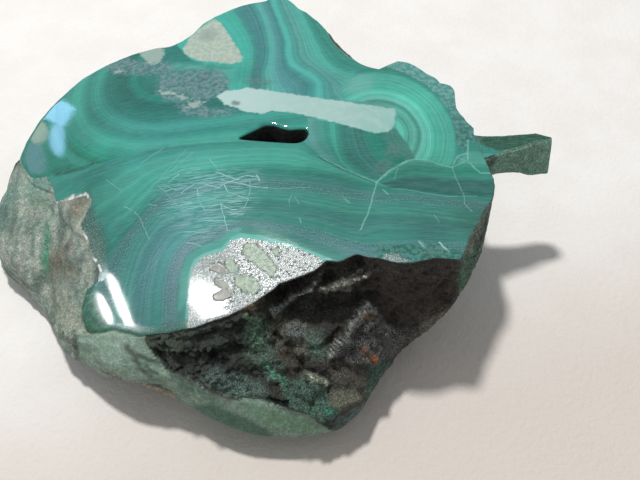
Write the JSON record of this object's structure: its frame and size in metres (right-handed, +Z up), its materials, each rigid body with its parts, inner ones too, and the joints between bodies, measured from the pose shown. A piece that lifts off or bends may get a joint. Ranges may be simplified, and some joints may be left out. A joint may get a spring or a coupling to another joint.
{
  "type": "polished malachite slab",
  "caption": "Thick slab of banded green stone with a domed polished face, broken rough sides, a short side tab, a deep natural pocket and a flat sawn base.",
  "frame": {"origin": "on the flat sawn base, below the middle of the polished face", "axes": "+Z up out of the polished face; +X right, towards the tab; +Y away from the broken front"},
  "size_m": [0.0962, 0.0798, 0.024],
  "materials": {
    "malachite": "banded green malachite, glossy where polished, rough and brown green where broken"
  },
  "bodies": {
    "root": {"malachite_slab": "malachite"}
  },
  "joints": []
}
